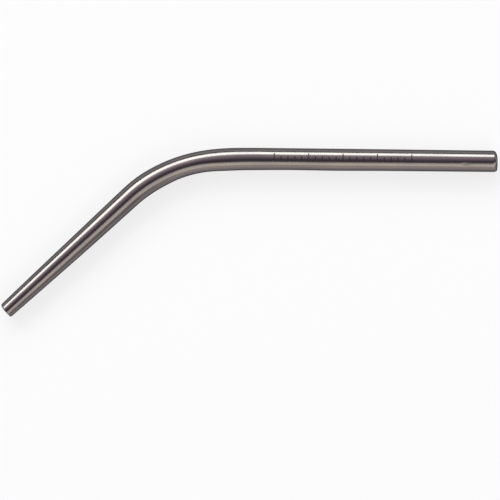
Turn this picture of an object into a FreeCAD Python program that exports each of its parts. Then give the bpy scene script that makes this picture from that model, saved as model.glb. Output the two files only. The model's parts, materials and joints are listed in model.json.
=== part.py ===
import FreeCAD, Part
import math
import os
import Sketcher

# A surgical aspirator tip: one length of stainless steel tube, lying on its side.
# A straight shank slides into a suction valve. The tube then bends, gently at first and
# tighter after that, and its straight arm is drawn down to a narrow, rounded mouth.
# Lengths are in millimetres and turns in degrees. The whole bend lies level.

# The sizes that a maker would set, each with the word that everything below calls it by.
SIZES = (
    ("tube_dia", "6.35", "outside diameter of the tube, a quarter of an inch"),
    ("wall", "0.89", "wall of the tube"),
    ("shank_length", "69.0", "straight shank, from the rear lip to the bend"),
    ("lead_radius", "156.0", "centreline radius where the bend sets in"),
    ("lead_angle", "4.9", "how far that gentle start turns"),
    ("bend_radius", "41.0", "centreline radius of the main bend"),
    ("bend_angle", "38.3", "how far the main bend turns"),
    ("arm_length", "49.3", "tapered arm, from the bend to the mouth"),
    ("taper_radius", "3500.0", "radius of the long arc that the arm's outline follows"),
    ("tip_dia", "4.6", "outside diameter at the mouth"),
    ("tip_wall", "0.8", "wall at the mouth"),
    ("rear_round", "0.75", "rounding of the rear lip, outside"),
    ("rear_break", "0.1", "rounding of the rear lip, inside"),
    ("tip_round", "0.4", "rounding of the mouth, outside"),
    ("tip_break", "0.15", "rounding of the mouth, inside"),
    ("lip_flat", "0.04", "least flat that stays between the roundings of a lip"),
)

TUBE_RADIUS = "Sizes.tube_dia / 2"
BORE_RADIUS = "Sizes.tube_dia / 2 - Sizes.wall"
TIP_RADIUS = "Sizes.tip_dia / 2"
TIP_BORE_RADIUS = "Sizes.tip_dia / 2 - Sizes.tip_wall"
REAR_ROUND = "min(Sizes.rear_round; Sizes.wall - Sizes.rear_break - Sizes.lip_flat)"
TIP_ROUND = "min(Sizes.tip_round; Sizes.tip_wall - Sizes.tip_break - Sizes.lip_flat)"
TOTAL_TURN = "(Sizes.lead_angle + Sizes.bend_angle) * 1 deg"

# A sketch counts its axes down from -1 and a curve's points up from 1. Its origin is the
# horizontal axis's start.
HORIZONTAL_AXIS, VERTICAL_AXIS = range(-1, -3, -1)
START, END, CENTRE = range(1, 4)
ORIGIN = (HORIZONTAL_AXIS, START)

UP = FreeCAD.Vector(0, 0, 1)
QUARTER_TURN = math.pi / 2


def point(x, y):
    return FreeCAD.Vector(x, y, 0)


def arc(centre, radius, start, end):
    return Part.ArcOfCircle(Part.Circle(centre, UP, radius), start, end)


def crowned_edge(start, end, radius):
    """The arc from start to end, anticlockwise, that bulges away from the tube's axis."""
    chord = end - start
    rise = math.sqrt(radius ** 2 - (chord.Length / 2) ** 2)
    centre = (start + end) / 2 + UP.cross(chord).normalize() * rise
    angles = [math.atan2(place.y - centre.y, place.x - centre.x) for place in (start, end)]
    return arc(centre, radius, *angles)


def add_sketch(body, name, plane_role):
    """A sketch on one of the body's own origin planes."""
    plane = next(item for item in body.Origin.OriginFeatures if item.Role == plane_role)
    sketch = body.newObject("Sketcher::SketchObject", name)
    sketch.AttachmentSupport = [(plane, "")]
    sketch.MapMode = "FlatFace"
    return sketch


def dimension(sketch, name, expression, kind, *places):
    """A named dimension of the sketch that follows the sizes."""
    value = sketch.evalExpression(expression)
    index = sketch.addConstraint(Sketcher.Constraint(kind, *places, value))
    sketch.renameConstraint(index, name)
    sketch.setExpression("Constraints." + name, expression)


def draw_half_section(sketch, length, root, end, lip, crown=None):
    """Half of a lengthwise section, drawn anticlockwise above the tube's axis.

    It runs from x = 0 to the lip at x = length. root is the outer and the inner radius at
    x = 0, and end the same at the lip. lip is the rounding of its outer and inner edge.
    crown is the radius of the outline's long arc, or None where the outline is straight.
    """
    reach = sketch.evalExpression(length)
    root_outer, root_inner = [sketch.evalExpression(size) for size in root]
    end_outer, end_inner = [sketch.evalExpression(size) for size in end]
    round_size, break_size = [sketch.evalExpression(size) for size in lip]
    outline_start = point(reach - round_size, end_outer)
    outline_end = point(0, root_outer)
    if crown:
        outline_curve = crowned_edge(outline_start, outline_end, sketch.evalExpression(crown))
    else:
        outline_curve = Part.LineSegment(outline_start, outline_end)
    bore_end = point(reach - break_size, end_inner)
    face_start = point(reach, end_inner + break_size)
    face_end = point(reach, end_outer - round_size)
    break_centre = point(reach - break_size, end_inner + break_size)
    round_centre = point(reach - round_size, end_outer - round_size)

    bore = sketch.addGeometry(Part.LineSegment(point(0, root_inner), bore_end))
    inner = sketch.addGeometry(arc(break_centre, break_size, -QUARTER_TURN, 0))
    face = sketch.addGeometry(Part.LineSegment(face_start, face_end))
    outer = sketch.addGeometry(arc(round_centre, round_size, 0, QUARTER_TURN))
    outline = sketch.addGeometry(outline_curve)
    joint = sketch.addGeometry(Part.LineSegment(outline_end, point(0, root_inner)))

    for before, after in ((bore, inner), (inner, face), (face, outer), (outer, outline)):
        sketch.addConstraint(Sketcher.Constraint("Tangent", before, END, after, START))
    for before, after in ((outline, joint), (joint, bore)):
        sketch.addConstraint(Sketcher.Constraint("Coincident", before, END, after, START))
        sketch.addConstraint(Sketcher.Constraint("PointOnObject", after, START, VERTICAL_AXIS))
    sketch.addConstraint(Sketcher.Constraint("Vertical", face))

    dimension(sketch, "length", length, "DistanceX", *ORIGIN, face, START)
    dimension(sketch, "root_outer", root[0], "DistanceY", *ORIGIN, joint, START)
    dimension(sketch, "root_inner", root[1], "DistanceY", *ORIGIN, joint, END)
    dimension(sketch, "lip_round", lip[0], "Radius", outer)
    dimension(sketch, "lip_break", lip[1], "Radius", inner)
    dimension(sketch, "face_outer", end[0] + " - " + lip[0], "DistanceY", *ORIGIN, face, END)
    dimension(sketch, "end_inner", end[1], "DistanceY", *ORIGIN, bore, END)
    if crown:
        dimension(sketch, "crown", crown, "Radius", outline)


def revolve(body, sketch, name):
    """Turn a half section once round the tube's axis."""
    turned = body.newObject("PartDesign::Revolution", name)
    turned.Profile = sketch
    turned.ReferenceAxis = (sketch, ["H_Axis"])
    turned.Angle = 360
    sketch.Visibility = False


def add_shank(body):
    """The straight shank, from the bend at x = 0 to the rear lip."""
    sketch = add_sketch(body, "shank_section", "XY_Plane")
    draw_half_section(
        sketch,
        length="Sizes.shank_length",
        root=(TUBE_RADIUS, BORE_RADIUS),
        end=(TUBE_RADIUS, BORE_RADIUS),
        lip=(REAR_ROUND, "Sizes.rear_break"),
    )
    revolve(body, sketch, "shank")


def add_centreline(body):
    """The path of the bend: a wide arc that leaves the shank, and a tighter one after it."""
    sketch = add_sketch(body, "bend_centreline", "XY_Plane")
    lead_radius = sketch.evalExpression("Sizes.lead_radius")
    bend_radius = sketch.evalExpression("Sizes.bend_radius")
    lead_end = QUARTER_TURN + math.radians(sketch.evalExpression("Sizes.lead_angle"))
    bend_end = lead_end + math.radians(sketch.evalExpression("Sizes.bend_angle"))
    lead_centre = point(0, -lead_radius)
    outward = point(math.cos(lead_end), math.sin(lead_end))
    bend_centre = lead_centre + outward * (lead_radius - bend_radius)

    lead = sketch.addGeometry(arc(lead_centre, lead_radius, QUARTER_TURN, lead_end))
    bend = sketch.addGeometry(arc(bend_centre, bend_radius, lead_end, bend_end))
    sketch.addConstraint(Sketcher.Constraint("Coincident", lead, START, *ORIGIN))
    sketch.addConstraint(Sketcher.Constraint("PointOnObject", lead, CENTRE, VERTICAL_AXIS))
    sketch.addConstraint(Sketcher.Constraint("Tangent", lead, END, bend, START))
    dimension(sketch, "lead_radius", "Sizes.lead_radius", "Radius", lead)
    dimension(sketch, "bend_radius", "Sizes.bend_radius", "Radius", bend)
    dimension(sketch, "lead_angle", "Sizes.lead_angle * 1 deg", "Angle", lead)
    dimension(sketch, "bend_angle", "Sizes.bend_angle * 1 deg", "Angle", bend)
    return sketch


def add_bend(body):
    """The bent stretch: the tube's own ring, swept along the centreline."""
    centreline = add_centreline(body)
    ring = add_sketch(body, "bend_ring", "YZ_Plane")
    for name, radius in (("outer_radius", TUBE_RADIUS), ("bore_radius", BORE_RADIUS)):
        circle = ring.addGeometry(Part.Circle(point(0, 0), UP, ring.evalExpression(radius)))
        ring.addConstraint(Sketcher.Constraint("Coincident", circle, CENTRE, *ORIGIN))
        dimension(ring, name, radius, "Radius", circle)
    bend = body.newObject("PartDesign::AdditivePipe", "bend")
    bend.Profile = ring
    bend.Spine = (centreline, ["Edge1", "Edge2"])
    ring.Visibility = False
    centreline.Visibility = False


def add_arm(body):
    """The tapered arm, drawn along its own axis, which starts where the bend ends."""
    sketch = add_sketch(body, "arm_section", "XY_Plane")
    turned = sketch.evalExpression(TOTAL_TURN).Value
    sketch.AttachmentOffset = FreeCAD.Placement(point(0, 0), FreeCAD.Rotation(UP, 180 + turned))
    sketch.setExpression("AttachmentOffset.Rotation.Angle", "180 deg + " + TOTAL_TURN)
    sketch.setExpression(
        "AttachmentOffset.Base.x",
        "-(Sizes.lead_radius - Sizes.bend_radius) * sin(Sizes.lead_angle * 1 deg)"
        " - Sizes.bend_radius * sin(" + TOTAL_TURN + ")",
    )
    sketch.setExpression(
        "AttachmentOffset.Base.y",
        "(Sizes.lead_radius - Sizes.bend_radius) * cos(Sizes.lead_angle * 1 deg)"
        " + Sizes.bend_radius * cos(" + TOTAL_TURN + ") - Sizes.lead_radius",
    )
    draw_half_section(
        sketch,
        length="Sizes.arm_length",
        root=(TUBE_RADIUS, BORE_RADIUS),
        end=(TIP_RADIUS, TIP_BORE_RADIUS),
        lip=(TIP_ROUND, "Sizes.tip_break"),
        crown="Sizes.taper_radius",
    )
    revolve(body, sketch, "arm")


def set_down(body):
    """Lay the tube on z = 0, with the middle of its outline over the origin."""
    box = body.Shape.optimalBoundingBox(False, False)
    body.Placement.Base = FreeCAD.Vector(-box.Center.x, -box.Center.y, -box.ZMin)


def check(document, body):
    """Stop if any object of the model failed, or if the tube isn't one sound solid."""
    for item in document.Objects:
        if "Invalid" in item.State or "Error" in item.State:
            raise RuntimeError(item.Name + " failed: " + str(item.State))
    if body.Shape.isNull() or not body.Shape.isValid() or len(body.Shape.Solids) != 1:
        raise RuntimeError(body.Label + " isn't one valid solid")


document = FreeCAD.newDocument("aspirator_tip")
sheet = document.addObject("Spreadsheet::Sheet", "Sizes")
for row, (alias, value, note) in enumerate(SIZES, start=1):
    sheet.set("A" + str(row), alias)
    sheet.set("B" + str(row), value)
    sheet.setAlias("B" + str(row), alias)
    sheet.set("C" + str(row), note)
document.recompute()

tube = document.addObject("PartDesign::Body", "suction_tube")
tube.Label = "suction_tube"
add_shank(tube)
document.recompute()
add_bend(tube)
document.recompute()
add_arm(tube)
document.recompute()
set_down(tube)
document.recompute()
check(document, tube)

os.makedirs("parts", exist_ok=True)
tube.Shape.exportStep("parts/" + tube.Label + ".step")
extent = tube.Shape.optimalBoundingBox(False, False)
print("%s: %.2f x %.2f x %.2f mm" % (tube.Label, extent.XLength, extent.YLength, extent.ZLength))
print("steel: %.1f cubic mm" % tube.Shape.Volume)
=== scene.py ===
# %% [markdown]
# # A surgical aspirator tip
# This lesson dresses a bent steel suction tube. The solid model already says where the tube
# lies and how thick it is. Here the tube gets its finish: fine drawing lines, a ding, an
# etched depth scale, and the light that makes polished steel look like steel.
# The solid model is loaded first, and its box is kept.

# %% Load the solid model
import json
import math

import bpy
from mathutils import Euler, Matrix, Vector


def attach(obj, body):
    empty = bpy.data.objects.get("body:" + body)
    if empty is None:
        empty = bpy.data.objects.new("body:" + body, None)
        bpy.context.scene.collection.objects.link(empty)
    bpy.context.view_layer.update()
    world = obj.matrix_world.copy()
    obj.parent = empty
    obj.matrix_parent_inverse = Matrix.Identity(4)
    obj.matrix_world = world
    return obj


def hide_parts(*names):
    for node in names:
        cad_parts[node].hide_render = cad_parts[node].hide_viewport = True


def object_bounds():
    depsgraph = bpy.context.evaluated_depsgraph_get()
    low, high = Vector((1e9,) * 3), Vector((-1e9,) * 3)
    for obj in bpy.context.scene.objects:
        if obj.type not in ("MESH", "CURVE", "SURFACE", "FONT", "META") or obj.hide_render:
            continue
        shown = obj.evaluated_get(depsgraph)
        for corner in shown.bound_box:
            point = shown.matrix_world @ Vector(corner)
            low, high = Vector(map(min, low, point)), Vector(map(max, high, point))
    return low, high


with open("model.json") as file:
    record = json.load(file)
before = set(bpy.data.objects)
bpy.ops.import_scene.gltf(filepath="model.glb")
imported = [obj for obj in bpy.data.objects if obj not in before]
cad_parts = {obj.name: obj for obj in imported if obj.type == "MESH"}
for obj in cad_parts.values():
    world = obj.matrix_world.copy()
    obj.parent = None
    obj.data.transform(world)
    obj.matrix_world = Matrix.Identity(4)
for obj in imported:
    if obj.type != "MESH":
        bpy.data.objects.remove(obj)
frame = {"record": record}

cad_low, cad_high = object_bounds()
print("solid model:", [round((high - low) * 1000, 2) for low, high in zip(cad_low, cad_high)], "mm")

# %% [markdown]
# ## Sizes
# A finish can't fit a tube whose size is only guessed, so the sizes come from the solid
# model wherever it states them. Its record names two fits: the outside of the shank and
# the bore behind it. Their radius, length and middle give the shank's axis, its rounded
# rear lip and the place where the bend sets in.

# %% Sizes that the solid model gives
MM = 0.001
fits = {mount["name"]: mount for mount in frame["record"]["mounts"]}
SHANK_MIDDLE = Vector(fits["shank"]["pos_m"])
STRAIGHT = fits["shank"]["dims"]["length_mm"] * MM
TUBE_RADIUS = fits["shank"]["dims"]["r_mm"] * MM
BORE_RADIUS = fits["rear_bore"]["dims"]["r_mm"] * MM
REAR_X = cad_high[0]
BEND_X = SHANK_MIDDLE.x - STRAIGHT / 2
SHANK_LENGTH = REAR_X - BEND_X
REAR_ROUND = SHANK_LENGTH - STRAIGHT
print("shank:", round(SHANK_LENGTH / MM, 2), "mm long, lip round", round(REAR_ROUND / MM, 2), "mm")

# %% [markdown]
# ## The line down the middle of the tube
# The tube was straight before it was bent, so it is easiest to make it straight here as
# well, and to bend it afterwards. A place on the tube is then a distance from the rear lip,
# and the line down the middle says where that distance ends up once the tube is bent.
# The bend is two arcs: a wide one where it sets in, and a tighter one after it.

# %% The centreline
LEAD_RADIUS = 156 * MM
LEAD_TURN = math.radians(4.9)
BEND_RADIUS = 41 * MM
BEND_TURN = math.radians(38.3)
ARM_LENGTH = 49.3 * MM

LEAD_START = SHANK_LENGTH
BEND_START = LEAD_START + LEAD_RADIUS * LEAD_TURN
ARM_START = BEND_START + BEND_RADIUS * BEND_TURN
TUBE_LENGTH = ARM_START + ARM_LENGTH


def onward(turn):
    """The way along the tube, towards the mouth, after that much turn."""
    return Vector((-math.cos(turn), -math.sin(turn), 0))


def outward(turn):
    """The level way square to the tube, towards the outside of the bend."""
    return Vector((-math.sin(turn), math.cos(turn), 0))


lead_centre = Vector((BEND_X, SHANK_MIDDLE.y, SHANK_MIDDLE.z)) - LEAD_RADIUS * outward(0)
bend_centre = lead_centre + (LEAD_RADIUS - BEND_RADIUS) * outward(LEAD_TURN)
FULL_TURN = LEAD_TURN + BEND_TURN
arm_start = bend_centre + BEND_RADIUS * outward(FULL_TURN)


def centreline(along):
    """The point at a distance from the rear lip, and how far the tube has turned there."""
    if along <= LEAD_START:
        return Vector((REAR_X - along, SHANK_MIDDLE.y, SHANK_MIDDLE.z)), 0
    if along <= BEND_START:
        turn = (along - LEAD_START) / LEAD_RADIUS
        return lead_centre + LEAD_RADIUS * outward(turn), turn
    if along <= ARM_START:
        turn = LEAD_TURN + (along - BEND_START) / BEND_RADIUS
        return bend_centre + BEND_RADIUS * outward(turn), turn
    return arm_start + (along - ARM_START) * onward(FULL_TURN), FULL_TURN


print("tube:", round(TUBE_LENGTH / MM, 1), "mm along its middle")

# %% [markdown]
# ## The section of the straight tube
# Half of the lengthwise section is all that a round tube needs: out round the rear lip,
# along the skin, round the mouth and back through the bore. Each point of that closed
# outline is a distance along the tube and a distance from its middle. The arm's skin
# follows a long, barely curved line, because a drawn-down tube has no sharp cone.
# The rear lip was rolled smooth, so its rounding reaches further along the tube than
# across the wall. The mouth was dressed on a stone to a shallow dome, which reaches
# further across the wall than along the tube. A quarter of an ellipse does both, and a
# plain fillet wouldn't.
# The points lie close together where light bends quickly, at the lips, and further apart
# on the straight.

# %% Half of the section
MOUTH_RADIUS = 2.3 * MM
MOUTH_BORE_RADIUS = 1.5 * MM
TAPER_RADIUS = 3500 * MM
MOUTH_REACH = 0.32 * MM
MOUTH_ROUND = 0.6 * MM
REAR_REACH = 1.05 * MM
REAR_BREAK = 0.1 * MM
MOUTH_BREAK = 0.15 * MM


def skin_radius(along):
    """Half the outside width: even as far as the arm, and then a long, crowned taper."""
    reach = max(along - ARM_START, 0)
    crown = reach * (ARM_LENGTH - reach) / (2 * TAPER_RADIUS)
    return TUBE_RADIUS + (MOUTH_RADIUS - TUBE_RADIUS) * reach / ARM_LENGTH + crown


def bore_radius(along):
    """Half the inside width: even as far as the arm, and then a plain taper."""
    reach = max(along - ARM_START, 0)
    return BORE_RADIUS + (MOUTH_BORE_RADIUS - BORE_RADIUS) * reach / ARM_LENGTH


def lip(face, edge, reach, depth, steps):
    """A rounded edge, from the flat of the lip to the wall.

    reach is how far it goes along the tube and depth how far across the wall, both with a sign.
    """
    points = []
    for step in range(steps + 1):
        angle = math.pi / 2 * step / steps
        points.append((face + reach * (1 - math.cos(angle)), edge + depth * (1 - math.sin(angle))))
    return points


def stations(start, end, gap):
    """Evenly spaced distances between two ends, without the ends themselves."""
    count = round((end - start) / gap)
    return [start + (end - start) * step / count for step in range(1, count)]


LIP_STEPS = 10
BREAK_STEPS = 4
SKIN_GAP = 0.55 * MM
BORE_GAP = 1.4 * MM

skin_start, skin_end = REAR_REACH, TUBE_LENGTH - MOUTH_REACH
bore_start, bore_end = REAR_BREAK, TUBE_LENGTH - MOUTH_BREAK
section = lip(0, TUBE_RADIUS, REAR_REACH, -REAR_ROUND, LIP_STEPS)
section += [(along, skin_radius(along)) for along in stations(skin_start, skin_end, SKIN_GAP)]
section += lip(TUBE_LENGTH, MOUTH_RADIUS, -MOUTH_REACH, -MOUTH_ROUND, LIP_STEPS)[::-1]
skin_rings = len(section)
section += lip(TUBE_LENGTH, MOUTH_BORE_RADIUS, -MOUTH_BREAK, MOUTH_BREAK, BREAK_STEPS)
section += [(along, bore_radius(along)) for along in stations(bore_start, bore_end, BORE_GAP)][::-1]
section += lip(0, BORE_RADIUS, REAR_BREAK, REAR_BREAK, BREAK_STEPS)[::-1]
print("section:", len(section), "points,", skin_rings, "of them outside")

# %% [markdown]
# ## What bending and use did to the tube
# A tube doesn't stay quite round when it is bent: it swells a little where the bending
# shoe lets go, and pulls in between. Such swellings are a tenth of a millimetre, but a
# polished tube is a mirror, and shows them. Each one is a smooth bump in the tube's level
# width, and those on the inner side of the bend, where the metal was squeezed together,
# are the fullest. The drawn-down arm is a little flatter on its outer side and fuller on
# its inner one. The ding near the rear lip is a shallow hollow, pressed in from above.
# Both lips are worn back a little on the outer side of the bend, where a dropped tube
# lands. All of these are moved corners, so they hold from every side; only the ding's
# hollow also gets painted shade in the finish further on.

# %% Swellings, the ding and the worn lips
# Each swelling: distance from the rear lip, how far it spreads, and its share of the half
# width on the outer and on the inner side of the bend.
SWELLINGS = (
    (0 * MM, 22 * MM, -0.018, -0.018),
    (48 * MM, 9 * MM, 0, 0.03),
    (71 * MM, 7 * MM, 0, 0.05),
    (79 * MM, 4.5 * MM, 0.036, 0.036),
    (92 * MM, 7 * MM, -0.014, -0.014),
    (99 * MM, 4 * MM, 0, 0.04),
    (104.5 * MM, 3.5 * MM, 0.02, 0.02),
    (130 * MM, 19 * MM, -0.028, 0.028),
)
DING_ALONG = 9.25 * MM
DING_ANGLE = math.radians(-19)
DING_LENGTH = 0.9 * MM
DING_WIDTH = 0.42 * MM
DING_DEPTH = 0.042 * MM
REAR_WEAR, MOUTH_WEAR = 0.42 * MM, 0.3 * MM
WEAR_SPREAD = math.radians(42)
WEAR_FADE = 2 * MM


def bell(distance, spread):
    """1 at no distance, falling smoothly to nothing over about two spreads."""
    return math.exp(-(distance / spread) ** 2)


def level_share(along, side):
    """How much wider than round the tube is. side goes from 1 outermost to -1 innermost."""
    share = 1
    for place, spread, outer, inner in SWELLINGS:
        share += bell(along - place, spread) * (outer * (1 + side) + inner * (1 - side)) / 2
    return share


def ding(along, from_top):
    """How far the skin is pressed in, from 0 to 1. The angle is from straight up, outwards."""
    around = (from_top - DING_ANGLE) * TUBE_RADIUS
    return bell(along - DING_ALONG, DING_LENGTH) * bell(around, DING_WIDTH)


def worn_back(along, from_top):
    """How far the skin has moved onward at the rear lip, or back at the mouth."""
    at_rear = REAR_WEAR * bell(along, WEAR_FADE)
    at_mouth = MOUTH_WEAR * bell(TUBE_LENGTH - along, WEAR_FADE)
    return (at_rear - at_mouth) * bell(from_top - math.pi / 2, WEAR_SPREAD)


WIDEST = 77 * MM
width = (level_share(WIDEST, 1) + level_share(WIDEST, -1)) * TUBE_RADIUS
print("widest swelling:", round(width / MM, 2), "mm")

# %% [markdown]
# ## The mesh
# Each point of the section is turned round the middle to make a ring, and each ring is set
# on the centreline at its own distance and turn. Neighbouring rings are joined by
# four-sided faces, the last ring to the first, so the tube closes by itself with no seam.
# Every corner also keeps two facts for the finish. One is its place on the straight tube:
# the drawing lines, which were made before the tube was bent, are painted by that place
# and so run round the bend. The other is how far the ding presses it in.

# %% Build the tube
AROUND = 144


def ring(along, radius, outside):
    """One ring: its corners, their places on the straight tube in millimetres, and the ding."""
    middle, turn = centreline(along)
    side = outward(turn)
    corners, places, pressed = [], [], []
    for step in range(AROUND):
        angle = 2 * math.pi * step / AROUND
        from_top = (angle + math.pi) % (2 * math.pi) - math.pi
        hollow = ding(along, from_top) if outside else 0
        reach = radius - DING_DEPTH * hollow
        across = reach * math.sin(angle) * level_share(along, math.sin(angle))
        corner = middle + side * across + Vector((0, 0, reach * math.cos(angle)))
        corners.append(corner + onward(turn) * worn_back(along, from_top))
        places.append((along / MM, radius * math.sin(angle) / MM, radius * math.cos(angle) / MM))
        pressed.append(hollow)
    return corners, places, pressed


corners, places, pressed = [], [], []
for index, (along, radius) in enumerate(section):
    ring_corners, ring_places, ring_pressed = ring(along, radius, index < skin_rings)
    corners += ring_corners
    places += ring_places
    pressed += ring_pressed

faces = []
for index in range(len(section)):
    first = index * AROUND
    second = (index + 1) % len(section) * AROUND
    for step in range(AROUND):
        beside = (step + 1) % AROUND
        faces.append((first + step, first + beside, second + beside, second + step))

mesh = bpy.data.meshes.new("steel_tube")
mesh.from_pydata(corners, [], faces)
mesh.shade_smooth()
straight_place = mesh.attributes.new("straight_place", "FLOAT_VECTOR", "POINT")
straight_place.data.foreach_set("vector", [number for place in places for number in place])
ding_share = mesh.attributes.new("ding_share", "FLOAT", "POINT")
ding_share.data.foreach_set("value", pressed)
tube = bpy.data.objects.new("steel_tube", mesh)
bpy.context.scene.collection.objects.link(tube)
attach(tube, "root")
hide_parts("suction_tube")
print("steel tube:", len(corners), "corners,", len(faces), "faces")

# %% [markdown]
# ## Writing finishes as sums
# A finish in Blender is a web of nodes. Placing and wiring them by hand hides the thought
# behind them, so this small helper lets a finish be written as plain arithmetic:
# `0.2 + streaks * 0.1` adds the nodes that work it out. A wire holds one output. Numbers
# go through Math nodes, and colours and places through Mix and Vector Math.

# %% The wire helper
class Wire:
    """One output of a node, which can be added and multiplied like a number."""

    def __init__(self, finish, socket):
        self.finish = finish
        self.socket = socket

    def __add__(self, other):
        return self.finish.math("ADD", self, other)

    def __sub__(self, other):
        return self.finish.math("SUBTRACT", self, other)

    def __rsub__(self, other):
        return self.finish.math("SUBTRACT", other, self)

    def __mul__(self, other):
        return self.finish.math("MULTIPLY", self, other)

    def __pow__(self, other):
        return self.finish.math("POWER", self, other)

    __radd__ = __add__
    __rmul__ = __mul__


class Finish:
    """The nodes of one material, or of the light that surrounds the scene."""

    def __init__(self, tree):
        self.tree = tree
        tree.nodes.clear()

    def add(self, kind, sockets=(), output=0, **settings):
        """A node of that kind. Its settings come first, then values or wires for its sockets."""
        node = self.tree.nodes.new(kind)
        for name, value in settings.items():
            setattr(node, name, value)
        for name, value in dict(sockets).items():
            if isinstance(value, Wire):
                self.tree.links.new(value.socket, node.inputs[name])
            else:
                node.inputs[name].default_value = value
        return Wire(self, node.outputs[output]) if node.outputs else node

    def math(self, operation, *numbers):
        """A Math node on one or two numbers or wires."""
        return self.add("ShaderNodeMath", dict(enumerate(numbers)), operation=operation)

    def mix(self, share, first, second, blend="MIX"):
        """A colour that goes from first to second as the share goes from 0 to 1."""
        sockets = {0: share, 6: first, 7: second}
        return self.add("ShaderNodeMix", sockets, output=2, data_type="RGBA", blend_type=blend)

    def scaled(self, place, factors):
        """A place stretched by its own factor along each axis."""
        return self.add("ShaderNodeVectorMath", {0: place, 1: factors}, operation="MULTIPLY")

    def noise(self, place, factors, detail):
        """Soft random patches, from 0 to 1. The factors say how many there are to a millimetre."""
        sockets = {"Vector": self.scaled(place, factors), "Scale": 1.0, "Detail": detail}
        return self.add("ShaderNodeTexNoise", sockets)

    def bump(self, height, strength, depth):
        """The way that the skin faces where the height presses it in or out."""
        sockets = {"Strength": strength, "Distance": depth, "Height": height}
        return self.add("ShaderNodeBump", sockets, output="Normal")

    def slope(self, value, start, end):
        """0 as far as start, 1 from end on, and a straight slope between them.

        start may be the larger of the two.
        """
        sockets = {"Value": value, "From Min": start, "From Max": end}
        return self.add("ShaderNodeMapRange", sockets)

    def split(self, place):
        """The three numbers of a place."""
        node = self.add("ShaderNodeSeparateXYZ", {0: place}).socket.node
        return [Wire(self, output) for output in node.outputs]


def new_finish(name):
    """A new material and the helper that fills it."""
    material = bpy.data.materials.new(name)
    material.use_nodes = True
    return material, Finish(material.node_tree)


print("helper ready")

# %% [markdown]
# ## An etched depth scale
# A hand reads how deep an instrument sits from marks on its shank. They are etched dark and
# dull, so they change the colour and the gloss but not the shape. A scale could be cut as
# geometry, but an etch is a few hundredths of a millimetre deep, and a mask on the skin
# shows it better. The mask is sums on two numbers: the distance along the tube, which
# repeats from tick to tick, and the distance round it from the top.

# %% The depth scale
SCALE_START, SCALE_END = 25.0, 65.0
SCALE_FOOT = -0.5
TICK_HALF_WIDTH = 0.16
ETCH_SOFTNESS = 0.06
# Each row of ticks: how far apart they stand, and how far round the tube they reach.
TICKS = ((2.0, 0.8), (10.0, 1.75))


def tick_row(finish, along, around, spacing, reach):
    """1 on the ticks of one row, from the foot of the scale round to their own reach."""
    from_tick = finish.math("PINGPONG", along - SCALE_START, spacing / 2)
    line = finish.slope(from_tick, TICK_HALF_WIDTH + ETCH_SOFTNESS, TICK_HALF_WIDTH)
    end = finish.slope(around, reach + ETCH_SOFTNESS, reach)
    foot = finish.slope(around, SCALE_FOOT - ETCH_SOFTNESS, SCALE_FOOT)
    return line * end * foot


def depth_scale(finish, place):
    """1 on the etched ticks and 0 between them and beyond the scale's two ends."""
    along, across, up = finish.split(place)
    around = finish.math("ARCTAN2", across, up) * (TUBE_RADIUS / MM)
    rows = [tick_row(finish, along, around, spacing, reach) for spacing, reach in TICKS]
    margin = TICK_HALF_WIDTH + 2 * ETCH_SOFTNESS
    begun = finish.math("GREATER_THAN", along, SCALE_START - margin)
    ended = finish.math("GREATER_THAN", along, SCALE_END + margin)
    return finish.math("MAXIMUM", *rows) * begun * (1 - ended)


print("scale:", SCALE_END - SCALE_START, "mm long, a tick every", TICKS[0][0], "mm")

# %% [markdown]
# ## Polished steel
# Surgical steel tube is drawn through a die and then polished lengthwise. What is left are
# very fine lines along the tube, a slightly uneven gloss, and faint clouds where hands and
# cleaning dulled it. So the metal stays one warm grey, its roughness carries the lines and
# clouds, and a tiny bump follows the lines. A streak is a noise that is stretched along the
# tube: many to a millimetre across, and one to several centimetres along.
# This steel mirrors little at a glancing look, which draws its dark outline. The shader's
# own edge tint does that. In the ding it is duller, and its hollow carries painted shade.
# A painted shade line also runs round the outermost rim of the rear lip.

# %% The outside of the tube
STEEL_WARM = (0.178, 0.16, 0.156, 1)
STEEL_COOL = (0.158, 0.145, 0.148, 1)
STEEL_EDGE = (0.25, 0.27, 0.28, 1)
# This dark colours the etched ticks, and is also the painted shade in the ding's hollow and on the
# rear lip's outermost rim.
ETCH_AND_PAINTED_SHADE_DARK = (0.05, 0.042, 0.045, 1)
# How far the ding's hollow is painted towards that dark: painted shade in the dent.
DING_PAINTED_SHADE = 0.35
# How far from the rear lip, in millimetres, the painted shade line on its outermost rim reaches.
RIM_SHADE_START, RIM_SHADE_END = 0.35, 0.1
# Each noise: how many patches there are to a millimetre along and across, and its detail.
FINE_LINES = (0.015, 4.0, 4.0), 2.0
BROAD_LINES = (0.02, 1.1, 1.1), 2.0
WORN_CLOUDS = (0.12, 0.3, 0.3), 3.0
FINE_SHARE = 0.7
CLOUD_START, CLOUD_END = 0.35, 0.65
POLISH_DEPTH, POLISH_STRENGTH = 0.004 * MM, 0.08
# The roughness of the best polished places, and what each kind of dullness adds to it.
POLISHED, DULL_LINES, DULL_CLOUDS, DULL_ETCH, DULL_DING = 0.13, 0.07, 0.06, 0.25, 0.1


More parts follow.
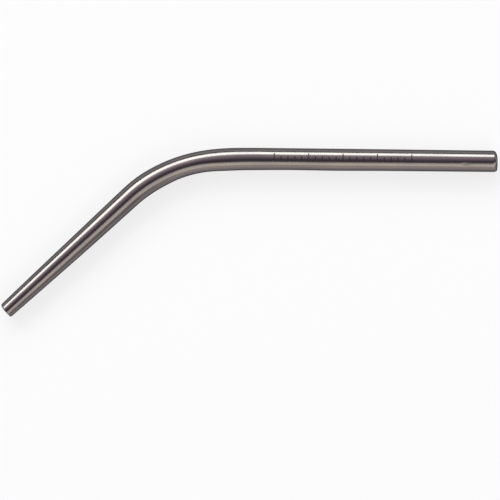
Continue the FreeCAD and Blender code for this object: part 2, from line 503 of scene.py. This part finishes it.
def steel_outside():
    """The polished skin, with its lines, clouds, depth scale, ding, and painted shade in the ding
    and on the rear rim.
    """
    material, finish = new_finish("polished_steel")
    place = finish.add("ShaderNodeAttribute", output="Vector", attribute_name="straight_place")
    pressed = finish.add("ShaderNodeAttribute", output="Fac", attribute_name="ding_share")
    fine = finish.noise(place, *FINE_LINES)
    broad = finish.noise(place, *BROAD_LINES)
    clouds = finish.noise(place, *WORN_CLOUDS)
    lines = fine * FINE_SHARE + broad * (1 - FINE_SHARE)
    # Painted shade: a dark line painted round the rear lip's outermost rim.
    painted_rim_shade = finish.slope(finish.split(place)[0], RIM_SHADE_START, RIM_SHADE_END)
    etch_and_rim_shade = finish.math("MAXIMUM", depth_scale(finish, place), painted_rim_shade)
    metal = finish.mix(finish.slope(clouds, CLOUD_START, CLOUD_END), STEEL_WARM, STEEL_COOL)
    # The ticks are etched; the darkening in the ding's hollow and on the rear rim is painted shade.
    colour = finish.mix(finish.math("MAXIMUM", etch_and_rim_shade, pressed * DING_PAINTED_SHADE), metal, ETCH_AND_PAINTED_SHADE_DARK)
    roughness = POLISHED + lines * DULL_LINES + clouds * DULL_CLOUDS
    roughness = roughness + etch_and_rim_shade * DULL_ETCH + pressed * DULL_DING
    bump = finish.bump(lines, POLISH_STRENGTH, POLISH_DEPTH)
    steel = finish.add(
        "ShaderNodeBsdfPrincipled",
        {
            "Base Color": colour,
            "Metallic": 1.0,
            "Roughness": roughness,
            "Specular Tint": STEEL_EDGE,
            "Normal": bump,
        },
    )
    finish.add("ShaderNodeOutputMaterial", {"Surface": steel})
    return material


mesh.materials.append(steel_outside())
print("outside:", mesh.materials[0].name)

# %% [markdown]
# ## The bore
# Nobody polishes the inside of a tube. It keeps the dull grey of drawn steel, with rougher
# lines and a little staining, and it only shows at the two ends. It gets a finish of its
# own, in the mesh's second slot, and the faces from the mouth's inner edge on take it.

# %% The inside of the tube
BORE_STEEL = (0.3, 0.28, 0.265, 1)
BORE_STAIN = (0.2, 0.182, 0.168, 1)
BORE_LINES = (0.08, 3.0, 3.0), 3.0
BORE_CLOUDS = (0.3, 0.5, 0.5), 3.0
STAIN_START, STAIN_END = 0.4, 0.7
BORE_DEPTH, BORE_STRENGTH = 0.01 * MM, 0.4
BORE_DULL, BORE_DULL_LINES = 0.38, 0.14


def steel_inside():
    """Drawn steel as it leaves the die, a little stained."""
    material, finish = new_finish("drawn_bore_steel")
    place = finish.add("ShaderNodeAttribute", output="Vector", attribute_name="straight_place")
    lines = finish.noise(place, *BORE_LINES)
    clouds = finish.noise(place, *BORE_CLOUDS)
    colour = finish.mix(finish.slope(clouds, STAIN_START, STAIN_END), BORE_STEEL, BORE_STAIN)
    roughness = BORE_DULL + lines * BORE_DULL_LINES
    bump = finish.bump(lines, BORE_STRENGTH, BORE_DEPTH)
    steel = finish.add(
        "ShaderNodeBsdfPrincipled",
        {"Base Color": colour, "Metallic": 1.0, "Roughness": roughness, "Normal": bump},
    )
    finish.add("ShaderNodeOutputMaterial", {"Surface": steel})
    return material


mesh.materials.append(steel_inside())
inside_start = skin_rings * AROUND
for face in mesh.polygons:
    face.material_index = int(face.index >= inside_start)
print("finishes:", [material.name for material in mesh.materials])

# %% [markdown]
# ## The floor
# The tube lies on plain white. Lighting a pale floor until it turns white would also wash
# out the steel, so the floor's own surface does it: most of what the camera and the steel
# see of it is a plain glow at exactly white, and the rest is dull pale paper, which still
# takes the tube's soft shadow. The Light Path node tells a look, be it straight, mirrored or
# through glass, from the light that the floor throws back, which stays that of the paper.
# The floor is wide enough to reach the horizon in a view from the side.

# %% A plain pale floor
FLOOR_HALF = 4.0
FLOOR_PAPER = (0.72, 0.72, 0.77, 1)
PAPER_ROUGHNESS = 0.9
WHITE = (1, 1, 1, 1)
WHITE_SHARE = 0.75

floor_mesh = bpy.data.meshes.new("floor")
floor_corners = [Vector((x, y, 0)) * FLOOR_HALF for x, y in ((-1, -1), (1, -1), (1, 1), (-1, 1))]
floor_mesh.from_pydata(floor_corners, [], [(0, 1, 2, 3)])
floor = bpy.data.objects.new("floor", floor_mesh)
bpy.context.scene.collection.objects.link(floor)

floor_material, paper = new_finish("pale_floor")
matt = paper.add(
    "ShaderNodeBsdfPrincipled", {"Base Color": FLOOR_PAPER, "Roughness": PAPER_ROUGHNESS}
)
white = paper.add("ShaderNodeEmission", {"Color": WHITE, "Strength": 1.0})
seen = paper.add("ShaderNodeLightPath", output="Is Camera Ray")
for ray in ("Is Glossy Ray", "Is Transmission Ray"):
    seen = paper.math("MAXIMUM", seen, paper.add("ShaderNodeLightPath", output=ray))
surface = paper.add("ShaderNodeMixShader", {0: seen * WHITE_SHARE, 1: matt, 2: white})
paper.add("ShaderNodeOutputMaterial", {"Surface": surface})
floor_mesh.materials.append(floor_material)
print("floor:", 2 * FLOOR_HALF, "m square")

# %% [markdown]
# ## The lamps
# A polished tube shows nothing but its surroundings, so lighting it means deciding what it
# mirrors. Seen from above, a place halfway out to the tube's edge mirrors what stands 60
# degrees from straight up, and the places beyond 0.7 of the way out mirror the floor. The
# upper left carries one hard bright line, so a long lamp stands low on that side. The lower
# right carries a broad dimmer band with a sharp inner edge, so a wide soft lamp hangs
# overhead, set back from the middle. Between the two the tube mirrors the dark ceiling.
# Each lamp is given by the brightness of its face, from which its power follows.

# %% Lamps
def soft_lamp(name, place, turn, size, brightness, colour):
    """A flat lamp. Its brightness is that of a white surface at 1."""
    light = bpy.data.lights.new(name, "AREA")
    light.shape = "RECTANGLE"
    light.size, light.size_y = size
    light.energy = brightness * math.pi * light.size * light.size_y
    light.color = colour
    lamp = bpy.data.objects.new(name, light)
    lamp.location = place
    lamp.rotation_euler = turn
    lamp.visible_camera = False
    bpy.context.scene.collection.objects.link(lamp)


def direction(azimuth, from_zenith):
    """A unit vector. The azimuth is anticlockwise from +X, and both are in degrees."""
    turn, lean = math.radians(azimuth), math.radians(from_zenith)
    level = Vector((math.cos(turn), math.sin(turn), 0)) * math.sin(lean)
    return level + Vector((0, 0, math.cos(lean)))


LEVEL, QUARTER = 90, 90
KEY_AZIMUTH, KEY_LEAN = 125, 57
KEY_DISTANCE = 2.0
KEY_HEIGHT = 1.0
KEY_LEFT, KEY_RIGHT = -0.7, 1.8
KEY_BRIGHTNESS, KEY_COLOUR = 6.25, (0.924, 1.0, 0.93)
key_place = direction(KEY_AZIMUTH, KEY_LEAN) * KEY_DISTANCE
key_turn = (-key_place).to_track_quat("-Z", "Y").to_euler()
key_place += direction(KEY_AZIMUTH - QUARTER, LEVEL) * (KEY_LEFT + KEY_RIGHT) / 2
key_size = KEY_RIGHT - KEY_LEFT, KEY_HEIGHT
soft_lamp("key_lamp", key_place, key_turn, key_size, KEY_BRIGHTNESS, KEY_COLOUR)

CEILING = 1.5
FILL_AZIMUTH = -34
FILL_NEAR, FILL_FAR = 0.36 * CEILING, 1.45 * CEILING
FILL_LEFT, FILL_RIGHT = -1.5 * CEILING, 0.15 * CEILING
FILL_BRIGHTNESS, FILL_COLOUR = 1.6, (1.0, 1.0, 0.87)
fill_place = Vector((0, 0, CEILING))
fill_place += direction(FILL_AZIMUTH, LEVEL) * (FILL_NEAR + FILL_FAR) / 2
fill_place += direction(FILL_AZIMUTH + QUARTER, LEVEL) * (FILL_LEFT + FILL_RIGHT) / 2
fill_turn = Euler((0, 0, math.radians(FILL_AZIMUTH)))
fill_size = FILL_FAR - FILL_NEAR, FILL_RIGHT - FILL_LEFT
soft_lamp("fill_lamp", fill_place, fill_turn, fill_size, FILL_BRIGHTNESS, FILL_COLOUR)
print("key lamp:", round(key_size[0], 2), "m long; fill lamp:", round(fill_size[0], 2), "m wide")

# %% [markdown]
# ## The room
# The rest of what the tube mirrors is the room: a dim ceiling with soft glows, as a studio
# has round its lamps and on its walls. Each glow is brightest in one direction and falls
# away evenly from it, which is a power of the cosine of the angle between the two. Two wide
# glows surround the bright lamp, so that its line fades softly towards the tube's middle, a
# third does the same along the arm, and a narrow one carries the line out to the rear end.
# Two stand on the other side, behind the lower band. The last three are for anyone who
# looks from the side or along the tube.

# %% The room's light
CEILING_COLOUR = (0.045, 0.02, 0.07, 1)
# Each glow: where it is centred, how narrow it is, and its brightness and colour.
GLOWS = (
    (direction(110, 40), 8.0, (1.24, 1.08, 1.12, 1)),
    (direction(100, 10), 20.0, (0.1, 0.08, 0.11, 1)),
    (direction(145, 46), 24.0, (0.58, 0.54, 0.42, 1)),
    (direction(79, 71), 80.0, (2.2, 2.2, 2.1, 1)),
    (direction(-85, 85), 5.0, (1.5, 1.35, 1.2, 1)),
    (direction(-40, 45), 8.0, (0.29, 0.27, 0.24, 1)),
    (direction(-5, 70), 20.0, (1.6, 1.5, 1.48, 1)),
    (direction(35, 66), 20.0, (1.8, 1.74, 1.68, 1)),
    (direction(180, 72), 20.0, (3.0, 2.9, 2.7, 1)),
)

world = bpy.data.worlds.new("room")
world.use_nodes = True
bpy.context.scene.world = world
room = Finish(world.node_tree)
look = room.add("ShaderNodeTexCoord", output="Generated")
light = CEILING_COLOUR
for centre, narrowness, colour in GLOWS:
    sides = {0: look, 1: tuple(centre)}
    facing = room.add("ShaderNodeVectorMath", sides, output="Value", operation="DOT_PRODUCT")
    light = room.mix(room.math("MAXIMUM", facing, 0.0) ** narrowness, light, colour, "ADD")
sky = room.add("ShaderNodeBackground", {"Color": light, "Strength": 1.0})
room.add("ShaderNodeOutputWorld", {"Surface": sky})
print("room:", len(GLOWS), "glows")

# %% [markdown]
# ## The camera
# The tube is seen straight from above and from far away, so that neither end shows its
# opening. A long lens two metres up does the same. The picture is 500 pixels wide and shows
# the 6.35 mm tube 21.8 pixels wide, which sets how much the camera takes in. The tube lies
# turned by a little over half a degree in the picture.

# %% Camera
PICTURE_WIDTH = 500
TUBE_WIDTH_IN_PICTURE = 21.8
CAMERA_HEIGHT = 2.0
TILT_IN_PICTURE = math.radians(0.63)
PICTURE_MIDDLE = Vector((0.36, -4.8, 0)) * MM
SENSOR = 36.0

view_width = PICTURE_WIDTH * 2 * TUBE_RADIUS / TUBE_WIDTH_IN_PICTURE
camera_data = bpy.data.cameras.new("camera")
camera_data.sensor_width = SENSOR
camera_data.lens = SENSOR * CAMERA_HEIGHT / view_width
camera = bpy.data.objects.new("camera", camera_data)
camera.location = PICTURE_MIDDLE + Vector((0, 0, TUBE_RADIUS + CAMERA_HEIGHT))
camera.rotation_euler = (0, 0, TILT_IN_PICTURE)
bpy.context.scene.collection.objects.link(camera)
bpy.context.scene.camera = camera
bpy.context.scene.view_settings.view_transform = "Standard"
print("view:", round(view_width / MM, 1), "mm wide, lens", round(camera_data.lens, 1), "mm")
